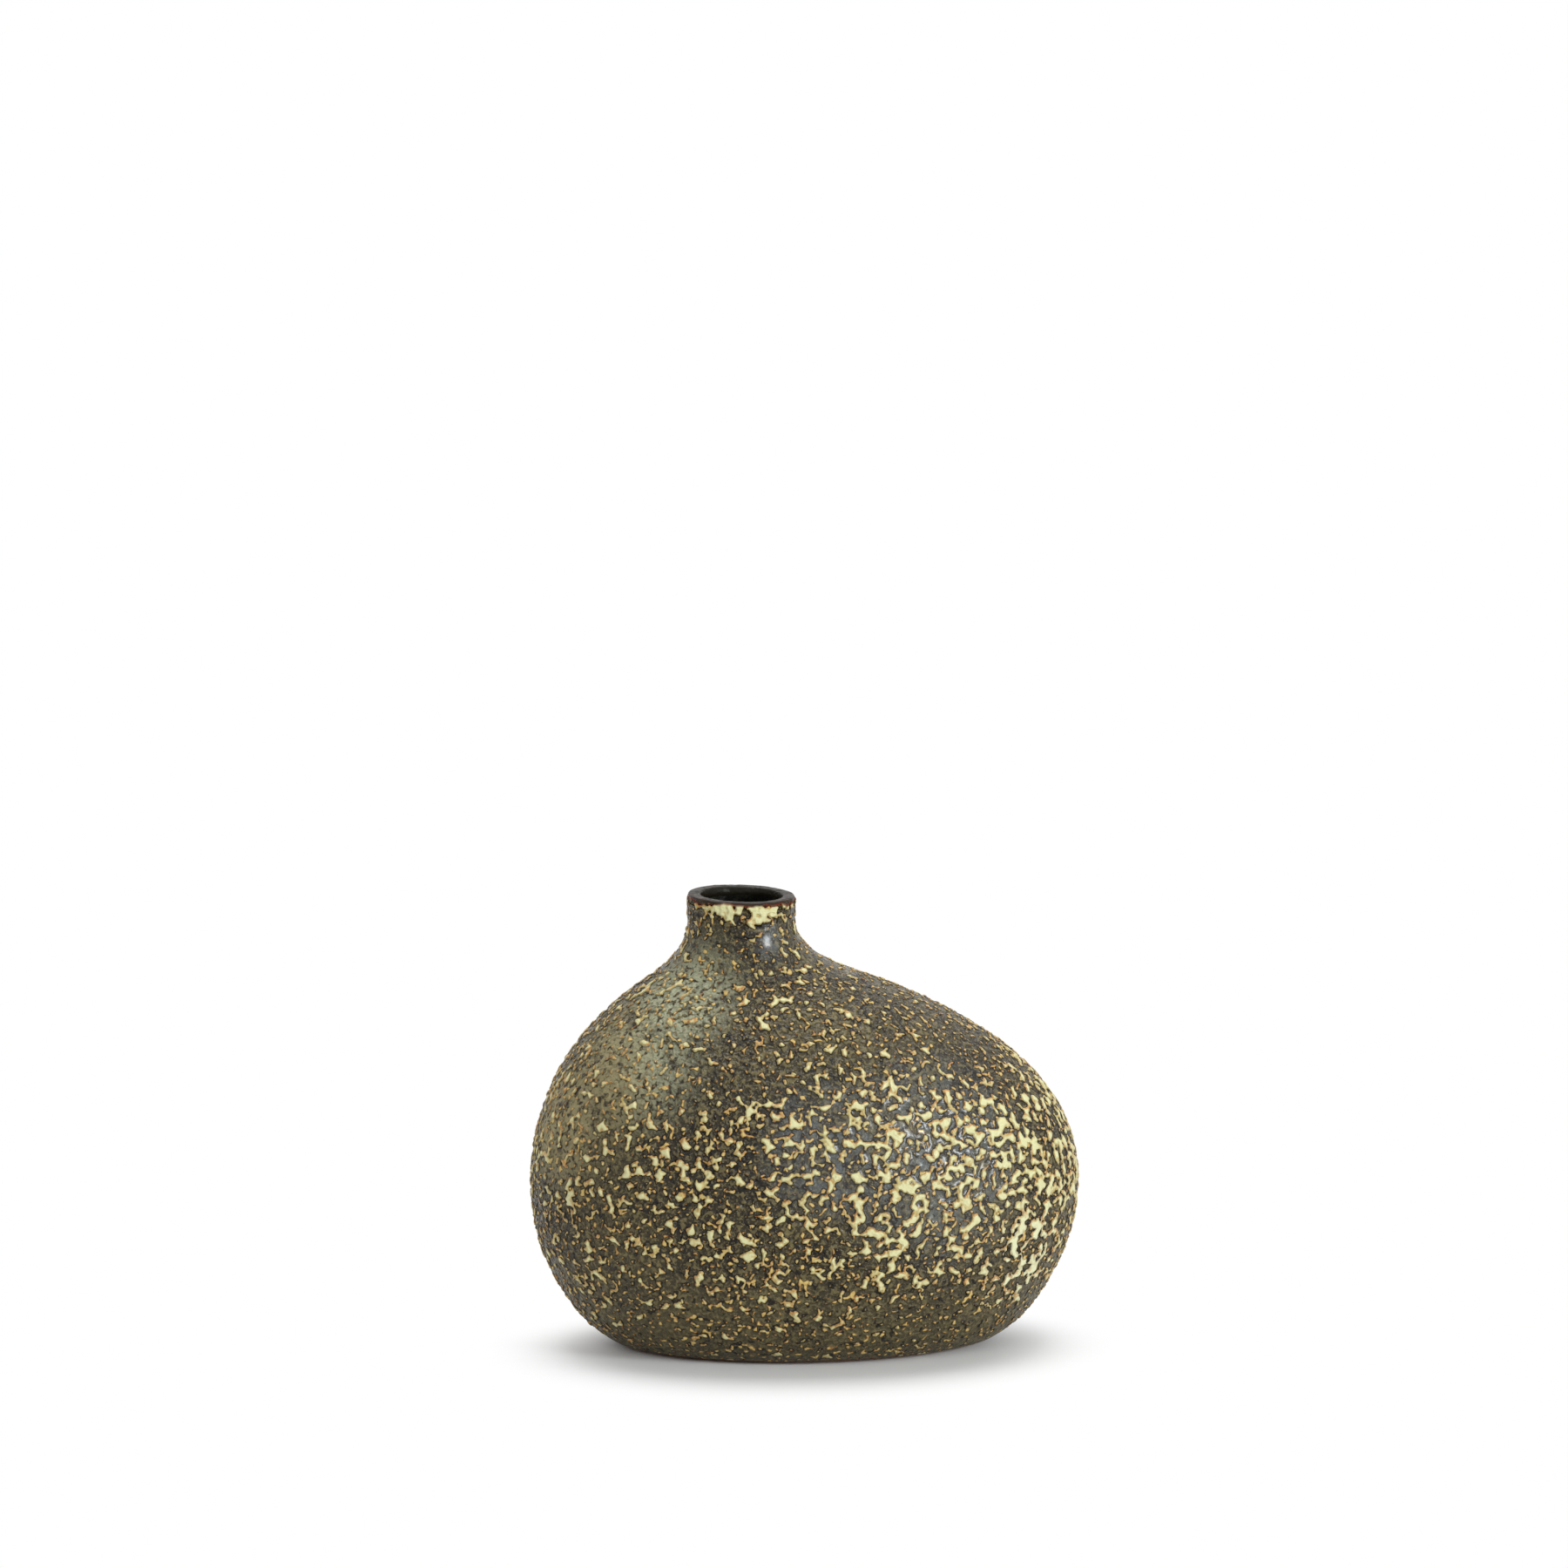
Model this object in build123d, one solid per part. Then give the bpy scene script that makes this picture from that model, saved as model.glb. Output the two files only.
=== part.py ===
from build123d import *
from collections import namedtuple
from math import hypot
import os

# A small stoneware bud vase: a flattened, pebble-shaped body on an oval foot, with a short
# round neck set to one side. It is one fired clay wall under three coats of glaze. Each coat
# is a solid of its own, face to face with the clay.
#
# Frame: millimetres, +Z up, the foot on Z = 0, X along the body's width and Y along its
# depth, with the origin under the middle of the widest part. The neck stands towards -X.

# Body, measured over the glaze
BODY_WIDTH = 120.0
BODY_DEPTH = 80.0
BELLY_HEIGHT = 37.0  # height of the widest part
VASE_HEIGHT = 99.0  # from the foot to the lip

# The oval that the body's underside, over the glaze, would draw on the ground
FOOT_WIDTH = 81.0
FOOT_DEPTH = 50.0

# Neck
NECK_OFFSET = 13.9  # from the middle of the body to the neck's axis, along -X
NECK_DIAMETER = 23.4
NECK_LENGTH = 6.0  # the straight collar below the lip
MOUTH_DIAMETER = 17.6  # clear bore, inside the glaze

# Clay
BODY_WALL = 3.2
FLOOR_THICKNESS = 3.4  # above the hollow under the foot
FLOOR_ROUND = 6.0  # where the inside of the wall meets the floor
CLAY_LIP_ROUND = 0.5

# Glaze coats
OUTER_COAT = 0.8
LINER_COAT = 0.4
LIP_COAT = 0.6  # on top of the lip
LIP_BAND = 1.6  # how far the lip's own glaze comes down on both sides
LIP_ROUND = 1.1  # outer edge of the lip
MOUTH_ROUND = 0.8  # inner edge of the lip

# Foot
BARE_FOOT = 1.0  # height of the bare clay below the outer coat
COAT_EDGE_ROUND = 0.5  # rolled lower edge of the outer coat
FOOT_RING = 5.0  # width of the ring that the vase stands on
FOOT_HOLLOW = 1.0  # depth of the hollow inside the ring
FOOT_BEVEL = 0.4  # on both edges of the ring

# The outline, as pairs: the share of the rise from the narrow end to the belly, then the
# share of the spread. The shoulder is an ogee, rounded out from the belly and drawn in to
# the collar, and the narrow end of the underside is the foot.
UNDERSIDE = ((0.05, 0.17), (0.16, 0.42), (0.35, 0.685), (0.65, 0.925))
SHOULDER = (
    (0.035, 0.008),
    (0.09, 0.042),
    (0.16, 0.13),
    (0.25, 0.325),
    (0.375, 0.565),
    (0.555, 0.795),
    (0.77, 0.945),
)

# What follows from those sizes
COLLAR_HEIGHT = VASE_HEIGHT - NECK_LENGTH
NECK_WALL = (NECK_DIAMETER - MOUTH_DIAMETER) / 2 - OUTER_COAT - LINER_COAT
FLOOR_HEIGHT = FOOT_HOLLOW + FLOOR_THICKNESS  # top of the clay floor
BAND_HEIGHT = VASE_HEIGHT - LIP_BAND
SAME_HEIGHT = 0.001  # how closely an edge is told by its height

# One horizontal oval of the body: its height, and its reach to the left, right and front
Oval = namedtuple("Oval", "height left right front")


def oval(height, width, depth, centre=0.0):
    """An oval of that width and depth, whose centre may be shifted along X."""
    return Oval(height, centre - width / 2, centre + width / 2, depth / 2)


def between(narrow, belly, rise, spread):
    """The oval at a share of the rise and a share of the spread from narrow to belly."""
    height = narrow.height + (belly.height - narrow.height) * rise
    reaches = [n + (b - n) * spread for n, b in zip(narrow[1:], belly[1:])]
    return Oval(height, *reaches)


def outline():
    """The ovals of the glazed body, from the ground up to where the collar begins."""
    foot = oval(0, FOOT_WIDTH, FOOT_DEPTH)
    belly = oval(BELLY_HEIGHT, BODY_WIDTH, BODY_DEPTH)
    collar = oval(COLLAR_HEIGHT, NECK_DIAMETER, NECK_DIAMETER, -NECK_OFFSET)
    underside = [between(foot, belly, *shares) for shares in UNDERSIDE]
    shoulder = [between(collar, belly, *shares) for shares in reversed(SHOULDER)]
    return [foot, *underside, belly, *shoulder, collar]


def side_slopes(ovals, i):
    """How far the left, right and front move along X or Y for each millimetre up, at oval i."""
    if i == len(ovals) - 1:
        return 0, 0, 0  # the collar goes straight up
    below, above = ovals[max(i - 1, 0)], ovals[i + 1]
    rise = above.height - below.height
    return [(a - b) / rise for a, b in zip(above[1:], below[1:])]


def inset(ovals, thickness):
    """The ovals of the surface that lies inside by thickness(height), measured square to it."""
    made = []
    for i, o in enumerate(ovals):
        left, right, front = [thickness(o.height) * hypot(1, s) for s in side_slopes(ovals, i)]
        made.append(Oval(o.height, o.left + left, o.right - right, o.front - front))
    return made


def oval_face(o):
    """One oval as a flat face at its height."""
    shape = scale(Circle(1), by=((o.right - o.left) / 2, o.front, 1))
    return Pos((o.left + o.right) / 2, 0, o.height) * shape


def neck_cylinder(diameter, low, high):
    """A round bar on the neck's axis."""
    return Pos(-NECK_OFFSET, 0, low) * extrude(Circle(diameter / 2), high - low)


def body_form(thickness, neck_diameter):
    """The solid whose surface lies thickness(height) inside the glazed body, neck included."""
    ovals = inset(outline(), thickness)
    return loft([oval_face(o) for o in ovals]) + neck_cylinder(neck_diameter, COLLAR_HEIGHT, VASE_HEIGHT)


def layer(form, low, high):
    """The part of a form that lies between two heights."""
    form = split(form, Plane.XY.offset(low), keep=Keep.TOP)
    return split(form, Plane.XY.offset(high), keep=Keep.BOTTOM)


def edges_at(shape, height):
    """The edges that lie flat at a height, with the longest last."""
    level = shape.edges().filter_by_position(Axis.Z, height - SAME_HEIGHT, height + SAME_HEIGHT)
    return level.sort_by(SortBy.LENGTH)


def clay_thickness(height):
    """The clay wall: even up to the belly, then drawn thinner up to the neck."""
    share = (height - BELLY_HEIGHT) / (COLLAR_HEIGHT - BELLY_HEIGHT)
    return BODY_WALL + (NECK_WALL - BODY_WALL) * max(share, 0)


def hollow(liner, floor, floor_round):
    """The room inside the clay, less that much liner, from the floor up through the mouth."""
    room = body_form(
        lambda height: OUTER_COAT + clay_thickness(height) + liner,
        MOUTH_DIAMETER + 2 * (LINER_COAT - liner),
    )
    room = layer(room, floor, VASE_HEIGHT)
    return fillet(edges_at(room, floor), floor_round)


def clay_form():
    """The clay's outside, as if it were solid: the body without its coats."""
    form = body_form(lambda height: OUTER_COAT, NECK_DIAMETER - 2 * OUTER_COAT)
    return layer(form, 0, VASE_HEIGHT - LIP_COAT)


def clay_room():
    """The hollow in the clay, before the liner goes in."""
    return hollow(0, FLOOR_HEIGHT, FLOOR_ROUND)


def foot_hollow():
    """The shallow recess that leaves a ring for the vase to stand on."""
    foot = inset(outline(), lambda height: OUTER_COAT)[0]
    width = foot.right - foot.left - 2 * FOOT_RING
    depth = 2 * (foot.front - FOOT_RING)
    return extrude(oval_face(oval(0, width, depth)), FOOT_HOLLOW)


def clay_body():
    """The fired clay: foot ring, floor, wall and neck, with a softened lip."""
    body = clay_form() - clay_room() - foot_hollow()
    body = fillet(edges_at(body, VASE_HEIGHT - LIP_COAT), CLAY_LIP_ROUND)
    return chamfer(edges_at(body, 0), FOOT_BEVEL)


def outer_glaze():
    """The thick coat on the outside, from its rolled edge above the foot to the lip's band."""
    coat = body_form(lambda height: 0, NECK_DIAMETER)
    coat = layer(coat, BARE_FOOT, BAND_HEIGHT) - clay_form()
    return fillet(edges_at(coat, BARE_FOOT)[-1], COAT_EDGE_ROUND)


def lip_glaze(clay):
    """The smooth cap of glaze over the lip, down to the outer coat and to the liner."""
    outside = neck_cylinder(NECK_DIAMETER, BAND_HEIGHT, VASE_HEIGHT)
    cap = outside - neck_cylinder(MOUTH_DIAMETER, BAND_HEIGHT, VASE_HEIGHT)
    mouth_edge, outer_edge = edges_at(cap, VASE_HEIGHT)
    cap = fillet(outer_edge, LIP_ROUND)
    cap = fillet(edges_at(cap, VASE_HEIGHT)[0], MOUTH_ROUND)
    return cap - clay


def liner_glaze():
    """The thin coat that makes the inside watertight, up to the lip's band."""
    water_room = hollow(LINER_COAT, FLOOR_HEIGHT + LINER_COAT, FLOOR_ROUND - LINER_COAT)
    return layer(clay_room(), 0, BAND_HEIGHT) - water_room


def main():
    """Writes one STEP file for each piece."""
    clay = clay_body()
    pieces = {
        "clay_body": clay,
        "outer_glaze": outer_glaze(),
        "lip_glaze": lip_glaze(clay),
        "liner_glaze": liner_glaze(),
    }
    os.makedirs("parts", exist_ok=True)
    for name, piece in pieces.items():
        export_step(piece, f"parts/{name}.step")


if __name__ == "__main__":
    main()
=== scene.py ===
# %% [markdown]
# # A small stoneware bud vase, dressed for the render
#
# The construction comes as a fixed frame: one fired clay wall and three coats of glaze, in
# metres, with +Z up and the foot on Z = 0. This lesson makes the looks: the pebbly outer
# coat, the smooth lip, the dark inside, the bare foot, and a small white studio round them.
# The frame is measured first, because all that follows has to stay on it.

# %% Load the frame
import math
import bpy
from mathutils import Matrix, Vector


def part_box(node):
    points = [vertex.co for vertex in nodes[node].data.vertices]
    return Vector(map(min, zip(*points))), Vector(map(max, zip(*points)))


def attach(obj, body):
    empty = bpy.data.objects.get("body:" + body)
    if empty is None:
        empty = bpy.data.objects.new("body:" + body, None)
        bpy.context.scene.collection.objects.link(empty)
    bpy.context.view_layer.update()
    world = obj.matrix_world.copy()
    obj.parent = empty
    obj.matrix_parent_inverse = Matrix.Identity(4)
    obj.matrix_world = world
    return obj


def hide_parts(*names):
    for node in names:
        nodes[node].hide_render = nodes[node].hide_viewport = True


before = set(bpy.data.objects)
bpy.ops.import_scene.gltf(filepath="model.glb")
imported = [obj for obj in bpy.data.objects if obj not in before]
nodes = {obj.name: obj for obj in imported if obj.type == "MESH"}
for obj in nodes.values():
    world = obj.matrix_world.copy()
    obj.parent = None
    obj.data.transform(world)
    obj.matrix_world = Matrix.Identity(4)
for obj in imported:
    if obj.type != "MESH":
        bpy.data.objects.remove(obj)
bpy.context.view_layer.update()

from types import SimpleNamespace

import bpy
import numpy as np
from mathutils import Vector

MM = 0.001
print("nodes:", ", ".join(sorted(nodes)))

# %% [markdown]
# ## Reading the form
#
# The outer coat follows a pebble-shaped body that runs into a round neck set to one side.
# Every horizontal cut through it is an oval, so three rays tell its size at a height: one
# from the left, one from the right and one from the front. The sizes could be written here
# again, but measured ones follow the construction if a size is changed there.

# %% Measure ovals
FAR = 1.0  # where the rays start, in metres, well outside the vase


def hit(node, start, direction):
    """Where a ray meets a CAD node, or None."""
    found, place, _, _ = nodes[node].ray_cast(Vector(start), Vector(direction))
    return place if found else None


def oval_at(node, height):
    """(centre along X, half width, half depth) of the node's outline at a height."""
    left = hit(node, (-FAR, 0, height), (1, 0, 0)).x
    right = hit(node, (FAR, 0, height), (-1, 0, 0)).x
    centre = (left + right) / 2
    front = hit(node, (centre, -FAR, height), (0, 1, 0)).y
    return centre, (right - left) / 2, -front


coat_low, coat_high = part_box("outer_glaze")
NECK_X, NECK_R, _ = oval_at("outer_glaze", coat_high.z - 1 * MM)
print("neck axis at x =", round(NECK_X / MM, 2), "mm, radius", round(NECK_R / MM, 2), "mm")

# %% [markdown]
# ## Where to measure
#
# Rings at equal heights would lie far apart on the nearly flat shoulder and close together
# on the steep sides. The heights are picked so that the rings lie evenly along the profile
# instead, which gives faces of about one size all over the finished mesh.

# %% Space heights evenly along the profile
PROFILE_SAMPLES = 240


def profile_heights(node, low, high, count):
    """Heights whose rings are evenly spaced along the left, right and front profiles."""
    heights = np.linspace(low, high, PROFILE_SAMPLES)
    sizes = np.array([oval_at(node, float(h)) for h in heights])
    edges = np.stack([sizes[:, 0] - sizes[:, 1], sizes[:, 0] + sizes[:, 1], sizes[:, 2]])
    steps = np.hypot(np.diff(edges, axis=1), np.diff(heights)).mean(axis=0)
    along = np.concatenate([[0], np.cumsum(steps)])
    return np.interp(np.linspace(0, along[-1], count), along, heights)


OUTER_RINGS = 27
INNER_RINGS = 9
low = coat_low.z + 0.6 * MM
top = coat_high.z - 0.01 * MM
high = top - 0.3 * MM
outer_heights = profile_heights("outer_glaze", low, high, OUTER_RINGS)
inner_heights = profile_heights("clay_body", low, high, INNER_RINGS)
print("outer rings in mm:", [round(float(h) / MM, 1) for h in outer_heights])

# %% [markdown]
# ## A stack of rings
#
# A thrown or cast form is easiest to follow with a stack of rings: one circle is added at
# the foot, and each next ring is extruded up from the last, moved and resized to the oval
# measured there. A sphere pulled into shape would bunch its faces at the poles and stretch
# them at the neck. Operators act on all that is selected, so everything is deselected first.

# %% Stack rings
def deselect_all():
    bpy.ops.object.select_all(action="DESELECT")


def make_active(piece):
    deselect_all()
    piece.select_set(True)
    bpy.context.view_layer.objects.active = piece


def ring_stack(name, ovals, sides):
    """An open sleeve through ovals given as (height, centre, half width, half depth)."""
    deselect_all()
    height, centre, half_width, half_depth = ovals[0]
    bpy.ops.mesh.primitive_circle_add(vertices=sides, radius=1, location=(centre, 0, height))
    sleeve = bpy.context.object
    sleeve.name = name
    sleeve.scale = (half_width, half_depth, 1)
    bpy.ops.object.transform_apply(location=True, rotation=True, scale=True)
    bpy.ops.object.mode_set(mode="EDIT")
    bpy.ops.mesh.select_all(action="SELECT")
    for below, ring in zip(ovals, ovals[1:]):
        step = (ring[1] - below[1], 0, ring[0] - below[0])
        bpy.ops.mesh.extrude_region_move(TRANSFORM_OT_translate={"value": step})
        growth = (ring[2] / below[2], ring[3] / below[3], 1)
        bpy.ops.transform.resize(value=growth, center_override=(ring[1], 0, ring[0]))
    bpy.ops.mesh.select_all(action="SELECT")
    bpy.ops.mesh.normals_make_consistent(inside=False)
    bpy.ops.object.mode_set(mode="OBJECT")
    return sleeve


print("ring stack ready")

# %% [markdown]
# ## A closed shell
#
# A coat of glaze has two faces: the one that is seen, and the one on the clay. If the stack
# goes up outside, over the rim and down again inside, and its last ring lies on its first,
# welding the two makes a shell with no open edge and with its faces pointing outwards.

# %% Close a stack into a shell
SIDES = 64
WELD = 0.01 * MM


def closed_cage(name, rings):
    """A shell whose last ring is welded to its first."""
    shell = ring_stack(name, rings + rings[:1], SIDES)
    bpy.ops.object.mode_set(mode="EDIT")
    bpy.ops.mesh.select_all(action="SELECT")
    bpy.ops.mesh.remove_doubles(threshold=WELD)
    bpy.ops.mesh.normals_make_consistent(inside=False)
    bpy.ops.object.mode_set(mode="OBJECT")
    return shell


def grown(ring, by):
    """The same oval, larger all round."""
    height, centre, half_width, half_depth = ring
    return height, centre, half_width + by, half_depth + by


def at_height(ring, height):
    return (height, *ring[1:])


print("closed cage ready")

# %% [markdown]
# ## The outer coat's cage
#
# The coat is 0.8 mm thick, so its two faces lie close together. The cage stands a little
# off on both sides, so that each face of it later settles on its own side of the coat.
# A vertex group marks the rings outside, because only these carry the glaze's relief.

# %% Build the coat's cage
PROUD = 0.4 * MM  # how far the cage stands off


def measured_rings(node, heights, by):
    return [grown((float(h), *oval_at(node, float(h))), by) for h in heights]


outer_rings = measured_rings("outer_glaze", outer_heights, PROUD)
inner_rings = measured_rings("clay_body", inner_heights, -PROUD)
rim = [at_height(outer_rings[-1], top), at_height(inner_rings[-1], top)]
inner_edge = at_height(inner_rings[0], coat_low.z)
outer_edge = at_height(grown(outer_rings[0], -2 * PROUD), coat_low.z)
coat = closed_cage(
    "outer_coat", [outer_edge] + outer_rings + rim + inner_rings[::-1] + [inner_edge]
)
outside = coat.vertex_groups.new(name="outside")
outside.add(list(range(SIDES, SIDES * (OUTER_RINGS + 1))), 1.0, "REPLACE")
print("cage:", len(coat.data.vertices), "points,", len(outer_rings), "rings outside")

# %% [markdown]
# ## Refining the cage
#
# Subdivision Surface rounds the cage and makes it fine enough for glaze a third of a
# millimetre thick, and Shrinkwrap then lays each point on the nearest face of the frame.
# Doing it in this order keeps the form true, because rounding comes before settling.

# %% Refine the cage and settle it on the frame
def add_modifier(piece, kind, **settings):
    """Adds a modifier, applies it at once and leaves the piece active."""
    make_active(piece)
    modifier = piece.modifiers.new(kind.title(), kind)
    for name, value in settings.items():
        setattr(modifier, name, value)
    bpy.ops.object.modifier_apply(modifier=modifier.name)


FINE = 4
add_modifier(coat, "SUBSURF", levels=FINE, render_levels=FINE)
add_modifier(coat, "SHRINKWRAP", target=nodes["outer_glaze"], wrap_method="NEAREST_SURFACEPOINT")
bpy.ops.object.shade_smooth()
print("refined:", len(coat.data.polygons), "faces")

# %% [markdown]
# ## Wiring nodes with Python's operators
#
# The glaze is one pattern that is needed twice: once to raise the surface, in a Geometry
# Nodes tree, and once to colour it, in a material. Both trees know the same noise and math
# nodes. A small class holds a socket, and its operators add the math nodes, so the pattern
# can be written once, as plain formulas.

# %% The wire class
class Wire:
    """A value or vector on its way through a node tree."""

    def __init__(self, tree, socket=None):
        self.tree = tree
        self.socket = socket

    def node(self, kind, settings=None, inputs=None, output=0):
        """Adds a node: its settings first, then what goes into its sockets."""
        made = self.tree.nodes.new(kind)
        for name, value in (settings or {}).items():
            setattr(made, name, value)
        for name, value in (inputs or {}).items():
            if isinstance(value, Wire):
                self.tree.links.new(value.socket, made.inputs[name])
            else:
                made.inputs[name].default_value = value
        return Wire(self.tree, made.outputs[output])

    def math(self, operation, *values):
        return self.node("ShaderNodeMath", {"operation": operation}, dict(enumerate(values)))

    def vector(self, operation, inputs, output=0):
        return self.node("ShaderNodeVectorMath", {"operation": operation}, inputs, output)

    def __add__(self, other):
        return self.math("ADD", self, other)

    __radd__ = __add__

    def __sub__(self, other):
        return self.math("SUBTRACT", self, other)

    def __rsub__(self, other):
        return self.math("SUBTRACT", other, self)

    def __mul__(self, other):
        return self.math("MULTIPLY", self, other)

    __rmul__ = __mul__

    def smaller(self, other):
        return self.math("MINIMUM", self, other)

    def larger(self, other):
        return self.math("MAXIMUM", self, other)

    def rise(self, low, high):
        """0 below low, 1 above high, and an S curve between."""
        inputs = {"Value": self, "From Min": low, "From Max": high}
        return self.node("ShaderNodeMapRange", {"interpolation_type": "SMOOTHSTEP"}, inputs)

    def noise(self, scale, detail=2.0, roughness=0.5, distortion=0.0, offset=0.0):
        """Cloudy noise over this vector, from about 0.2 to about 0.8."""
        place = self if offset == 0 else self.move((offset, offset, offset))
        inputs = {"Vector": place, "Scale": scale, "Detail": detail}
        inputs.update({"Roughness": roughness, "Distortion": distortion})
        return self.node("ShaderNodeTexNoise", None, inputs)

    def move(self, by):
        return self.vector("ADD", {0: self, 1: by})

    def scaled(self, factor):
        return self.vector("SCALE", {0: self, "Scale": factor})

    def distance(self, centre):
        return self.vector("DISTANCE", {0: self, 1: centre}, output=1)

    def part_xyz(self):
        """The three parts of this vector."""
        first = self.node("ShaderNodeSeparateXYZ", None, {0: self})
        return [Wire(self.tree, socket) for socket in first.socket.node.outputs]


print("wire operators ready")

# %% [markdown]
# ## Zones on the vase
#
# Glaze is poured or brushed and runs in the kiln, so it is nowhere the same: it crowds on
# one flank, thins at the shoulders and stays dark at the foot. A picture could be painted
# for this, but a few soft balls in space are enough and need no unwrapping. Each is a
# centre and a reach in mm, and counts fully near its centre and not at all past its reach.

# %% Soft spots in space
FULL_SHARE = 0.25  # the part of the reach where a spot counts fully


def near(place, centre, reach):
    """1 at a centre, falling to 0 at a reach, both in mm."""
    return 1 - place.distance(centre).rise(reach * FULL_SHARE, reach)


def zone(place, *spots):
    """The nearest of several spots, given as (centre, reach)."""
    found = near(place, *spots[0])
    for spot in spots[1:]:
        found = found.larger(near(place, *spot))
    return found


def weighted(place, spots):
    """The sum of spots given as (centre, reach, amount)."""
    centre, reach, amount = spots[0]
    total = near(place, centre, reach) * amount
    for centre, reach, amount in spots[1:]:
        total = total + near(place, centre, reach) * amount
    return total


print("zones ready")

# %% [markdown]
# ## Where the islands crowd
#
# A reactive glaze crawls as it melts: thick cream glaze draws together in islands on a
# darker, thinner one. Cloudy noise cut at a level makes such islands, and moving that level
# over the vase makes them crowd or thin out. The cream is thickest on the right belly and
# in a collar under the rim, and rare on both shoulders and round the foot.

# %% Move the cut level over the vase
BUSY_BELLY = (((50, -18, 40), 38, 0.06), ((18, -38, 46), 36, 0.055))
BUSY_BELOW = (((44, -24, 22), 14, 0.03), ((-22, -35, 44), 26, 0.035))
COLLAR = ((-14, -14, 98), 16)
BARE_SHOULDERS = (((24, -14, 80), 36), ((-32, -20, 76), 34))
BARE_NECK = (((-17, -11, 90), 9), ((-25, -15, 81), 12))
BARE_BANDS = (((-12, -35, 66), 13), ((38, -18, 67), 15))


def crowding(place):
    """How far the cut level moves: above 0 for more islands, below 0 for fewer."""
    x, y, z = place.part_xyz()
    drift = (place.noise(0.04, detail=1.0, offset=40.0) - 0.5) * 0.12
    more = weighted(place, BUSY_BELLY)
    more = more + weighted(place, BUSY_BELOW)
    more = more + near(place, *COLLAR) * z.rise(93.5, 95.5) * 0.16
    fewer = zone(place, *BARE_SHOULDERS) * 0.04
    fewer = fewer + zone(place, *BARE_NECK) * 0.05
    fewer = fewer + zone(place, *BARE_BANDS) * 0.035
    fewer = fewer + (1 - z.rise(2, 30)) * 0.055
    return drift + more - fewer


print("crowding ready")

# %% [markdown]
# ## Islands, specks and pebbles
#
# Three sizes of grain make the glaze: joined islands of a few mm, separate specks between
# them, and the fine bumps of the ground. Each is a noise of its own. Cells of a Voronoi
# texture would look too regular, because crawled glaze joins up in worms and clumps.

# %% The three grains and the neck's bore
LEVEL = 0.592  # the height at which the noise is cut
SPECK_LEVEL = 0.70
BORE_EDGE = (9.4, 10.4)  # distances from the neck's axis, in mm


def island_field(place):
    """Above 0 on the cream islands, and further below 0 the further from them."""
    worms = place.noise(0.62, detail=0.0, distortion=0.25)
    fine = place.noise(1.3, detail=0.0, offset=11.0)
    clumps = place.noise(0.22, detail=0.0, offset=19.0)
    return worms * 0.66 + fine * 0.16 + clumps * 0.18 + crowding(place) - LEVEL


def crumbs(place):
    """Small separate specks between the islands: above 0 on a speck."""
    return place.noise(0.9, detail=0.0, offset=83.0) - SPECK_LEVEL


def pebbles(place):
    """The small bumps all over the glaze, from 0 to 1."""
    bumps = place.noise(1.1, detail=0.5, roughness=0.5, distortion=0.4, offset=7.0)
    return bumps.rise(0.25, 0.75)


def in_bore(place):
    """1 inside the neck's bore, where the glaze is plain, and 0 outside."""
    x, y, z = place.part_xyz()
    across = place.node("ShaderNodeCombineXYZ", None, {0: x, 1: y})
    gap = across.distance((NECK_X / MM, 0, 0))
    return (1 - gap.rise(*BORE_EDGE)) * z.rise(90, 92)


print("pattern ready")

# %% [markdown]
# ## How high the glaze stands
#
# Bump shading alone leaves the outline of the vase smooth, and thick glaze doesn't look
# so. The relief is real geometry: islands a third of a millimetre high, on pebbles less
# than half as high. It fades out at the foot's edge and under the smooth lip. The neck was also pressed
# a little out of level by hand, so it sinks slightly towards +X.

# %% Heights of the relief
ISLAND_HEIGHT = 0.34
PEBBLE_HEIGHT = 0.14
RELIEF_MEAN = 0.18  # the smooth form lies in the middle of the relief
LIP_TILT = 0.028  # how much lower the lip is per mm towards +X


def relief_height(place):
    """Height of the glaze over its smooth form, in mm."""
    x, y, z = place.part_xyz()
    island = island_field(place).rise(-0.06, 0.05)
    crumb = crumbs(place).rise(-0.08, 0.04)
    height = island.larger(crumb * 0.6) * ISLAND_HEIGHT + pebbles(place) * PEBBLE_HEIGHT
    calm = z.rise(1.2, 3.0) * (1 - z.rise(98.3, 99.1))
    return (height - RELIEF_MEAN) * calm


def lip_drop(place):
    """How far the uneven neck and lip sink, in mm."""
    x, y, z = place.part_xyz()
    return (x - NECK_X / MM) * LIP_TILT * z.rise(80, 96)


print("relief", ISLAND_HEIGHT + PEBBLE_HEIGHT, "mm at most")

# %% [markdown]
# ## Raising the glaze
#
# Geometry Nodes move each point of the fine mesh along its normal by the pattern's height.
# A Displace modifier needs a texture made elsewhere, and here the formulas above do it. The
# place before the move is kept as an attribute, because the material has to read the same
# pattern at the same place.

# %% Build the relief tree and apply it
def geometry_tree(name):
    """A new Geometry Nodes tree with a way in and a way out for the mesh."""
    tree = bpy.data.node_groups.new(name, "GeometryNodeTree")
    tree.interface.new_socket("Geometry", in_out="INPUT", socket_type="NodeSocketGeometry")
    tree.interface.new_socket("Geometry", in_out="OUTPUT", socket_type="NodeSocketGeometry")
    return tree, tree.nodes.new("NodeGroupInput"), tree.nodes.new("NodeGroupOutput")


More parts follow.
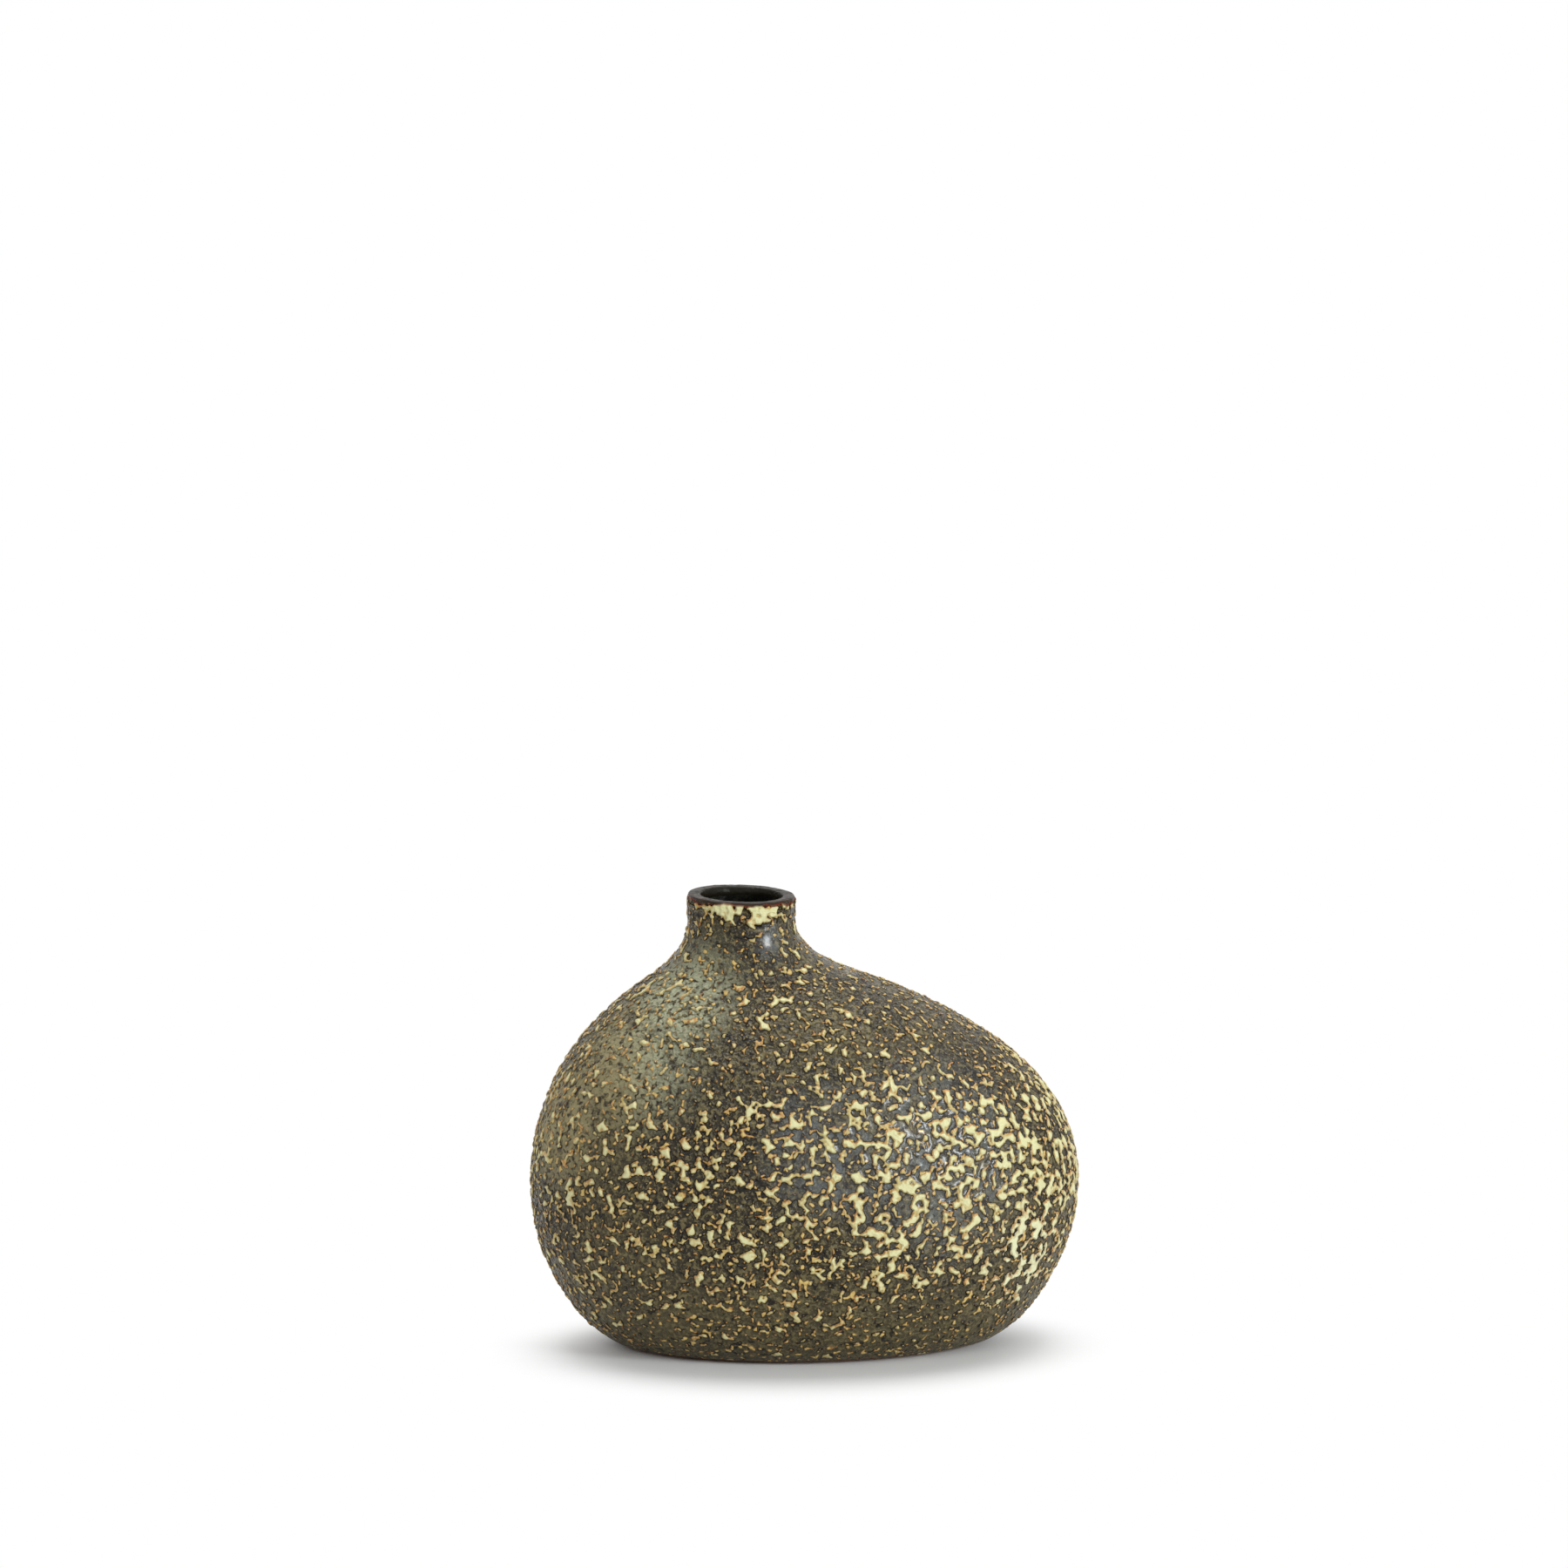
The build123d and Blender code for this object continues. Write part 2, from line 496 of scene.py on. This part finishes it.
def apply_relief(piece, name, height_of):
    """Keeps each point's place as "rest", then moves it by its height and the lip's drop."""
    tree, way_in, way_out = geometry_tree(name)
    start = Wire(tree)
    position = start.node("GeometryNodeInputPosition")
    normal = start.node("GeometryNodeInputNormal")
    mesh = Wire(tree, way_in.outputs[0])
    stored = start.node(
        "GeometryNodeStoreNamedAttribute",
        {"data_type": "FLOAT_VECTOR", "domain": "POINT"},
        {"Geometry": mesh, "Name": "rest", "Value": position},
    )
    place = position.scaled(1 / MM)
    settings = {"data_type": "FLOAT"}
    marked = start.node("GeometryNodeInputNamedAttribute", settings, {"Name": "outside"})
    out = normal.scaled(height_of(place) * marked * MM)
    down = start.node("ShaderNodeCombineXYZ", None, {"Z": lip_drop(place) * -MM})
    offset = start.vector("ADD", {0: out, 1: down})
    moved = start.node("GeometryNodeSetPosition", None, {"Geometry": stored, "Offset": offset})
    tree.links.new(moved.socket, way_out.inputs[0])
    add_modifier(piece, "NODES", node_group=tree)


apply_relief(coat, "glaze_relief", relief_height)
print("raised:", len(coat.data.vertices), "points")

# %% [markdown]
# ## Thinning the mesh
#
# The raised mesh has far more faces than its flat parts need. Decimate takes points away
# where the surface bends least, so the islands stay crisp and the piece stays light.

# %% Thin the mesh out where it is smooth
TRIANGLES = 194_000
triangles = 2 * len(coat.data.polygons)
add_modifier(coat, "DECIMATE", ratio=TRIANGLES / triangles, use_collapse_triangulate=True)
print("thinned:", len(coat.data.polygons), "triangles")

# %% [markdown]
# ## Paints
#
# Colours are easiest to judge as they look on a screen, from 0 to 255, but a renderer
# counts light. One helper turns the first into the second, and the glaze's colours get
# names here, from the near-black in its hollows to the cream of its islands.

# %% Paints and materials
def paint(red, green, blue):
    """A colour as seen on a screen, 0 to 255, turned into light."""
    channels = [v / 255 for v in (red, green, blue)]
    linear = [v / 12.92 if v <= 0.04045 else ((v + 0.055) / 1.055) ** 2.4 for v in channels]
    return (*linear, 1.0)


def new_material(name):
    """A material, a wire to start its tree from, and its shader."""
    material = bpy.data.materials.new(name)
    material.use_nodes = True
    tree = material.node_tree
    return material, Wire(tree), tree.nodes["Principled BSDF"]


def plug(wire, shader, socket):
    wire.tree.links.new(wire.socket, shader.inputs[socket])


def mix(start, first, second, share):
    """One colour where share is 0 and the other where it is 1."""
    inputs = {0: share, 6: first, 7: second}
    return start.node("ShaderNodeMix", {"data_type": "RGBA"}, inputs, output=2)


def object_place(start):
    """The place on a piece, in mm."""
    return start.node("ShaderNodeTexCoord", None, None, output=3).scaled(1 / MM)


DARK_OLIVE, LIGHT_OLIVE = paint(46, 39, 22), paint(82, 73, 44)
# The last of these is partly glaze pooled at the islands' edges and partly a painted shadow at their
# foot.
SHADE_BROWN, PIT_BLACK, EDGE_BLACK_AND_SHADE = paint(30, 25, 17), paint(26, 20, 10), paint(14, 9, 4)
# Two of these are painted light: pale specks that stand in for glints, and a tan that stands in for
# bounce light near the foot.
BUMP_TAN, PAINTED_GLINT_SPECKS, PAINTED_BOUNCE_TAN = paint(116, 104, 66), paint(136, 124, 84), paint(98, 90, 64)
# The bloom's colours: partly the glaze's own and partly a painted sheen.
OCHRE_FROST_AND_SHEEN, GREEN_FROST_AND_SHEEN = paint(146, 136, 98), paint(156, 158, 130)
# Painted reflection: a cool grey for the softbox's sheen in the belly's valleys.
PAINTED_SHEEN_GREY = paint(88, 96, 98)
DARK_RUST, LIGHT_RUST = paint(146, 88, 38), paint(206, 156, 88)
THIN_CREAM, CREAM, WHITISH = paint(182, 160, 98), paint(205, 201, 152), paint(216, 218, 184)
DARK_GRAIN, LIGHT_GRAIN = paint(146, 92, 42), paint(206, 178, 108)
LIP_BLACK, LIP_BROWN, LIP_RED = paint(26, 20, 14), paint(52, 42, 30), paint(104, 36, 16)
BORE_BROWN = paint(30, 27, 18)
print("paints ready")

# %% [markdown]
# ## Reading the glaze in a material
#
# Colour, roughness and bump all ask the same questions: is this an island, a speck or the
# ground, and in which zone does it lie? They are answered once, from the place that the
# relief kept. The field is also read a little up and to the left, to tell an island's edge
# there from its middle.

# %% Read the pattern once
DARK_ZONES = (((-20, -36, 50), 34), ((38, -18, 67), 18), ((-14, -12, 90), 9))
FROST_AND_SHEEN_ZONES = (((-30, -15, 80), 19), ((-43, -20, 68), 24), ((-54, -12, 52), 20))
GLOSS_ZONES = (((25, -34, 46), 30), ((-8, -12, 91), 6), ((2, -39, 50), 20))
UP_LEFT = (-0.25, 0.0, 0.4)


def read_glaze(start):
    """The pattern at the place kept as "rest": masks and noises for the finishes."""
    rest = start.node("ShaderNodeAttribute", {"attribute_name": "rest"}, None, output=1)
    place = rest.scaled(1 / MM)
    x, y, z = place.part_xyz()
    field, crumb = island_field(place), crumbs(place)
    patchy = place.noise(0.25, detail=2.0, offset=29.0)
    wavy = z + (patchy - 0.5) * 2.4
    inside = in_bore(place)
    return SimpleNamespace(
        place=place, x=x, z=z, field=field, crumb=crumb, patchy=patchy, wavy=wavy,
        above=island_field(place.move(UP_LEFT)),
        island=field.rise(-0.010, 0.014),
        speck=crumb.rise(-0.015, 0.015),
        peb=pebbles(place),
        cloud=place.noise(0.06, detail=3.0, offset=21.0),
        fine=place.noise(2.2, detail=2.0, roughness=0.6, offset=33.0),
        patch=zone(place, *FROST_AND_SHEEN_ZONES) * patchy.rise(0.2, 0.5),
        gloss=zone(place, *GLOSS_ZONES),
        low=1 - z.rise(8, 34),
        inside=inside,
        lip_share=wavy.rise(98.3, 98.8).larger(inside),
    )


print("glaze reading ready")

# %% [markdown]
# ## The dark ground
#
# Between the islands the thin glaze is olive brown, blacker in its pits and browner in the
# bands that shade it. Pale specks on its finest bumps are painted glints, and a tan towards
# the foot is painted bounce light. A grey-green bloom lies on the left shoulder, where the
# glaze stayed matt; its paleness is partly the bloom's own colour and partly a painted sheen.
# The shiny belly shows cool grey valleys, which are a painted reflection. Last, each island
# has a dark edge, partly where the crawling glaze pulled back from it and partly a painted
# shadow at its foot. Each of these is one more layer of paint.

# %% Colour of the ground
def ground_colour(start, glaze):
    net = glaze.place.noise(0.95, detail=0.6, distortion=0.3, offset=61.0).rise(0.36, 0.47)
    frost_and_sheen = mix(start, OCHRE_FROST_AND_SHEEN, GREEN_FROST_AND_SHEEN, glaze.x.rise(-46, -30))
    # Painted reflection: the valleys of the shiny belly are turned cool grey.
    painted_sheen = glaze.gloss * (1 - glaze.field.rise(-0.09, -0.05)) * glaze.patchy.rise(0.35, 0.6)
    # Dark ring round each island: partly pooled glaze, partly a painted shadow at the island's foot.
    pool_and_shadow = glaze.field.rise(-0.085, -0.05) * (1 - glaze.field.rise(-0.012, 0.0))
    layers = (
        (SHADE_BROWN, zone(glaze.place, *DARK_ZONES) * 0.75),
        (PIT_BLACK, (1 - glaze.peb) * 0.7),
        (BUMP_TAN, glaze.peb.rise(0.55, 1.0) * 0.6),
        # Painted highlight: pale specks on the finest bumps stand in for glints.
        (PAINTED_GLINT_SPECKS, glaze.fine.rise(0.52, 0.72) * 0.55),
        # Painted light: lighter towards the foot, standing in for light bounced up from the floor.
        (PAINTED_BOUNCE_TAN, (1 - glaze.z.rise(6, 30)) * 0.35),
        # The grey-green bloom: partly the glaze's own colour and partly a painted sheen.
        (frost_and_sheen, glaze.patch * net * 0.9),
        (PAINTED_SHEEN_GREY, painted_sheen * 0.6),
        (EDGE_BLACK_AND_SHADE, pool_and_shadow * (1 - glaze.patch * 0.6) * 0.9),
    )
    ground = mix(start, DARK_OLIVE, LIGHT_OLIVE, glaze.cloud.rise(0.38, 0.62))
    for colour, share in layers:
        ground = mix(start, ground, colour, share)
    return ground


print("ground colour ready")

# %% [markdown]
# ## Cream islands with rusty edges
#
# The islands are cream where the glaze is thick, and rust shows through where it thins out.
# The rust is put mostly on their upper left edges, as a painted lit edge, so there it is partly
# rust and partly painted light. The edge is found by comparing the field with the one read up
# and to the left. The small specks are thinner, so they are rusty too.

# %% Colour of the islands and the specks
WHITE_SPOT = ((44, -24, 22), 16)
WARM_ZONES = (((44, -14, 72), 24), ((-50, -10, 60), 26))


def cream_colour(start, glaze):
    # Rust where the glaze thins, put on the upper left edges as a painted lit edge.
    thin_and_lit_edge = 1 - glaze.above.rise(-0.02, 0.05)
    rust = mix(start, DARK_RUST, LIGHT_RUST, glaze.fine.rise(0.35, 0.65))
    cream = mix(start, THIN_CREAM, CREAM, glaze.field.rise(0.01, 0.10))
    whiter = glaze.fine.rise(0.5, 0.8) * 0.4 + near(glaze.place, *WHITE_SPOT) * 0.5
    cream = mix(start, cream, WHITISH, whiter)
    warm = glaze.patchy.rise(0.35, 0.65) + zone(glaze.place, *WARM_ZONES) * 0.4
    return mix(start, cream, rust, thin_and_lit_edge * warm.smaller(1.0) * 0.8)


def grain_colour(start, glaze):
    return mix(start, DARK_GRAIN, LIGHT_GRAIN, glaze.crumb.rise(0.0, 0.08))


print("island colours ready")

# %% [markdown]
# ## The lip's brown
#
# Glaze runs off a sharp edge, so the lip is thin, smooth and dark brown, with a wavy border
# and a reddish line under it where the iron in the clay shows. The border follows the
# height plus a soft noise, because a straight line would look cut.

# %% Colour of the lip
def lip_layers(start, glaze, base):
    """The base colour with the lip's brown and its red line over it."""
    brown = mix(start, LIP_BLACK, LIP_BROWN, glaze.patchy.rise(0.35, 0.7))
    brown = mix(start, brown, BORE_BROWN, glaze.inside)
    line = glaze.wavy.rise(98.1, 98.5) * (1 - glaze.wavy.rise(98.6, 99.0))
    line = line * (1 - glaze.inside) * glaze.cloud.rise(0.35, 0.5)
    base = mix(start, base, brown, glaze.lip_share)
    return mix(start, base, LIP_RED, line * 0.85)


print("lip colours ready")

# %% [markdown]
# ## Shine and fine bumps
#
# The ground is glassy and the islands are duller, and the foot and the grey-green bloom are
# almost matt. On the belly a clear coat adds broken glints. The bump repeats the relief, so
# that the light also sees what is finer than the mesh, and the lip stays calm.

# %% Put the speckled glaze together
BUMP_DEPTH = 1 * MM


def glaze_roughness(glaze):
    rough = 0.2 - glaze.gloss * 0.05 + glaze.island.larger(glaze.speck) * 0.15
    return rough + glaze.patch * 0.25 + glaze.low * 0.2 + glaze.lip_share * 0.15


def glaze_bump(glaze):
    raised = glaze.field.rise(-0.08, 0.11).larger(glaze.crumb.rise(-0.12, 0.08) * 0.6)
    height = raised * (0.52 - glaze.lip_share * 0.5)
    small = (glaze.peb * 0.24 + glaze.fine * 0.2) * (1 - glaze.lip_share * 0.8)
    return height + small * (1 - glaze.island * 0.5)


def bumped(start, height, strength):
    inputs = {"Strength": strength, "Distance": BUMP_DEPTH, "Height": height}
    return start.node("ShaderNodeBump", None, inputs)


def speckled_glaze(name, shine):
    """The outer glaze: how strongly it shines is a constant of its own."""
    material, start, shader = new_material(name)
    glaze = read_glaze(start)
    base = mix(start, ground_colour(start, glaze), grain_colour(start, glaze), glaze.speck * 0.9)
    base = mix(start, base, cream_colour(start, glaze), glaze.island)
    plug(lip_layers(start, glaze, base), shader, "Base Color")
    plug(glaze_roughness(glaze), shader, "Roughness")
    plug(glaze.gloss * (1 - glaze.island) * 0.6, shader, "Coat Weight")
    plug(bumped(start, glaze_bump(glaze), 1.0), shader, "Normal")
    shader.inputs["Coat Roughness"].default_value = 0.2
    shader.inputs["Specular IOR Level"].default_value = shine
    return material


def dress(piece, material):
    """Gives a piece one material."""
    piece.data.materials.clear()
    piece.data.materials.append(material)


dress(coat, speckled_glaze("speckled_glaze", 0.24))
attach(coat, "root")
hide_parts("outer_glaze")
print("coat dressed with", len(coat.data.materials[0].node_tree.nodes), "nodes")

# %% [markdown]
# ## The lip
#
# The lip is a small ring of smooth glaze over the rim: flush with the neck outside, nearly
# flat on top, with soft edges, and running a little way down inside. Its section is a
# closed line of a few points, carried round the neck as a stack of rings. A torus would be
# too round for a rim that was wiped flat before firing.

# %% Model the lip's cap
LIP_SECTION = (  # radius over the neck's, and height under the top, in mm
    (-0.8, 2.15), (-0.02, 2.05), (0.0, 1.6), (0.02, 1.0), (0.0, 0.5),
    (-0.1, 0.18), (-0.35, 0.02), (-1.4, 0.0), (-2.4, 0.05),
    (-2.75, 0.25), (-2.9, 0.8), (-2.95, 2.2), (-1.5, 2.4),
)
LIP_CROWN = 0.35 * MM  # how far the glaze stands over the frame's lip
LIP_FINE = 3
lip_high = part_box("lip_glaze")[1].z + LIP_CROWN
lip_rings = [
    (lip_high - down * MM, NECK_X, NECK_R + out * MM, NECK_R + out * MM)
    for out, down in LIP_SECTION
]
lip = closed_cage("lip_cap", lip_rings)
add_modifier(lip, "SUBSURF", levels=LIP_FINE, render_levels=LIP_FINE)
print("lip:", len(lip.data.polygons), "faces")

# %% [markdown]
# ## An uneven lip
#
# Where the lip meets the coat it carries the same relief, so that no seam shows, and on
# top it is only softly uneven, as a hand-wiped rim is. It has the same glaze as the coat,
# with less shine.

# %% Shape and dress the lip
def lip_wobble(place):
    """The coat's relief where the two meet, and a soft unevenness on top."""
    broad = place.noise(0.12, detail=1.0, offset=3.0) * 0.5
    soft = broad + place.noise(0.6, detail=1.0) * 0.2 - 0.35
    x, y, z = place.part_xyz()
    return relief_height(place) * (1 - in_bore(place)) + soft * z.rise(97.6, 99.0)


everywhere = lip.vertex_groups.new(name="outside")
everywhere.add(list(range(len(lip.data.vertices))), 1.0, "REPLACE")
apply_relief(lip, "lip_relief", lip_wobble)
bpy.ops.object.shade_smooth()
dress(lip, speckled_glaze("lip_glaze", 0.1))
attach(lip, "root")
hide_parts("lip_glaze")
print("lip dressed,", round(lip.dimensions.z / MM, 2), "mm high")

# %% [markdown]
# ## The bare clay
#
# The foot ring is left without glaze so that the vase doesn't stick to the kiln's shelf.
# It shows sandy brown clay with a fine grain. The frame's own solid already has the right
# form, so only its material is changed and its mesh is left alone.

# %% Raw clay on the foot
def refinish(node, material):
    for slot in nodes[node].material_slots:
        slot.material = material


def raw_clay():
    material, start, shader = new_material("raw_clay")
    grain = object_place(start).noise(2.0, detail=3.0, roughness=0.7)
    base = mix(start, paint(150, 116, 84), paint(112, 82, 58), grain.rise(0.4, 0.65))
    plug(base, shader, "Base Color")
    plug(0.75 + grain * 0.15, shader, "Roughness")
    return material


refinish("clay_body", raw_clay())
print("clay refinished")

# %% [markdown]
# ## The dark liner
#
# Stoneware is slightly porous, so the inside is lined with a glossy glaze that holds
# water. Through the narrow mouth it reads as almost black, with soft clouds and a faint
# unevenness that breaks its reflections up. It also only needs a material.

# %% Liner glaze
def dark_glaze(name):
    material, start, shader = new_material(name)
    place = object_place(start)
    cloud = place.noise(0.35, detail=3.0)
    fine = place.noise(1.3, detail=2.0, offset=33.0)
    base = mix(start, paint(16, 16, 13), paint(40, 38, 30), cloud.rise(0.45, 0.7))
    plug(base, shader, "Base Color")
    plug(0.12 + cloud * 0.2, shader, "Roughness")
    plug(bumped(start, cloud * 0.5 + fine * 0.1, 0.6), shader, "Normal")
    return material


refinish("liner_glaze", dark_glaze("liner_glaze"))
print("liner refinished")

# %% [markdown]
# ## The floor
#
# The vase stands in a white studio. A lit floor is never quite white, and turning up the
# lamps for it would bleach the glaze. Instead the floor glows white where the camera sees
# it, away from the vase, and stays an ordinary pale floor in an oval round the foot, where
# it catches the soft shadow.

# %% Floor
FLOOR_SIZE = 16
OVAL_MOVE = (0.002, 0.015, 0)
OVAL_HALF_SIZES = (0.074, 0.050)


def seen_directly(start):
    """1 for what the camera sees, also in a shine or through glass."""
    path = start.node("ShaderNodeLightPath").socket.node.outputs
    rays = ("Is Camera Ray", "Is Glossy Ray", "Is Transmission Ray")
    camera, glossy, through = [Wire(start.tree, path[name]) for name in rays]
    return camera.larger(glossy).larger(through)


def away_from_foot(start):
    """0 in the oval round the foot, 1 outside it."""
    place = start.node("ShaderNodeTexCoord", None, None, output=3).move(OVAL_MOVE)
    half_width, half_depth = OVAL_HALF_SIZES
    oval = start.vector("MULTIPLY", {0: place, 1: (1 / half_width, 1 / half_depth, 0)})
    return start.vector("LENGTH", {0: oval}, output=1).rise(0.5, 1.02)


def add_floor():
    deselect_all()
    bpy.ops.mesh.primitive_plane_add(size=FLOOR_SIZE, location=(0, 0, 0))
    floor = bpy.context.object
    floor.name = "studio_floor"
    material, start, shader = new_material("studio_floor")
    shader.inputs["Base Color"].default_value = (0.9, 0.9, 0.9, 1)
    shader.inputs["Roughness"].default_value = 0.9
    shader.inputs["Specular IOR Level"].default_value = 0.0
    white = start.node("ShaderNodeEmission", None, {"Color": (1, 1, 1, 1), "Strength": 1.0})
    glow = away_from_foot(start) * seen_directly(start)
    inputs = {0: glow, 1: Wire(start.tree, shader.outputs[0]), 2: white}
    mixed = start.node("ShaderNodeMixShader", None, inputs)
    plug(mixed, start.tree.nodes["Material Output"], "Surface")
    floor.data.materials.append(material)


add_floor()
print("floor added:", FLOOR_SIZE, "m wide")

# %% [markdown]
# ## The light
#
# Glaze shows its relief in light from the side, so a narrow softbox stands low on the
# right. A large one above the back draws the shadow in under the belly, and a weak one
# from the left front opens the dark side. The world adds an even, dimmer light, while the
# camera sees it white.

# %% World and softboxes
WORLD_LIGHT = 0.34
AIM_HEIGHT = 0.05
WHITE_LIGHT = (1, 1, 1)
COOL_LIGHT = (0.92, 0.97, 1.0)
SOFTBOXES = (  # name, azimuth, elevation, distance, size, watts, tint
    ("key", 48, 17, 1.2, (0.22, 0.42), 8.5, COOL_LIGHT),
    ("fill", -28, 34, 1.2, (0.6, 0.6), 2.6, WHITE_LIGHT),
    ("top", 175, 78, 1.1, (0.8, 0.8), 10.5, WHITE_LIGHT),
)


def away_at(azimuth, elevation):
    """The direction from the vase at angles in degrees: 0 is towards -Y, 90 towards +X."""
    a, e = math.radians(azimuth), math.radians(elevation)
    return Vector((math.sin(a) * math.cos(e), -math.cos(a) * math.cos(e), math.sin(e)))


def add_world(strength):
    world = bpy.data.worlds.new("studio")
    bpy.context.scene.world = world
    world.use_nodes = True
    level = seen_directly(Wire(world.node_tree)) * (1 - strength) + strength
    background = world.node_tree.nodes["Background"]
    background.inputs["Color"].default_value = (1, 1, 1, 1)
    plug(level, background, "Strength")


def add_softbox(name, azimuth, elevation, distance, size, watts, tint):
    away = away_at(azimuth, elevation)
    light = bpy.data.lights.new(name, "AREA")
    light.shape = "RECTANGLE"
    light.size, light.size_y = size
    light.energy = watts
    light.color = tint
    lamp = bpy.data.objects.new(name, light)
    bpy.context.scene.collection.objects.link(lamp)
    lamp.location = Vector((0, 0, AIM_HEIGHT)) + away * distance
    lamp.rotation_euler = away.to_track_quat("Z", "Y").to_euler()


add_world(WORLD_LIGHT)
for softbox in SOFTBOXES:
    add_softbox(*softbox)
print("softboxes:", ", ".join(softbox[0] for softbox in SOFTBOXES))

# %% [markdown]
# ## The camera
#
# A long lens from two metres away keeps the vase's proportions, as a catalogue shot does,
# and from a little above it shows the mouth as a thin oval. The camera aims over the vase
# and not at its middle, which leaves it low in the frame with clear space above.

# %% Camera
CAMERA_AZIMUTH, CAMERA_ELEVATION, CAMERA_DISTANCE = -6, 12, 2.0
LENS, SENSOR = 210, 36
AIM_LEFT, AIM_UP = 4.571 * MM, 72.21 * MM


def add_camera():
    target = Vector((0, 0, AIM_HEIGHT))
    back = away_at(CAMERA_AZIMUTH, CAMERA_ELEVATION)
    azimuth = math.radians(CAMERA_AZIMUTH)
    right = Vector((math.cos(azimuth), math.sin(azimuth), 0))
    up = back.cross(right)
    data = bpy.data.cameras.new("camera")
    data.sensor_width = SENSOR
    data.lens = LENS
    camera = bpy.data.objects.new("camera", data)
    bpy.context.scene.collection.objects.link(camera)
    camera.location = target + back * CAMERA_DISTANCE
    aim = target - right * AIM_LEFT + up * AIM_UP
    camera.rotation_euler = (camera.location - aim).to_track_quat("Z", "Y").to_euler()
    bpy.context.scene.camera = camera


add_camera()
bpy.context.scene.view_settings.view_transform = "Standard"
print("camera with a", LENS, "mm lens")
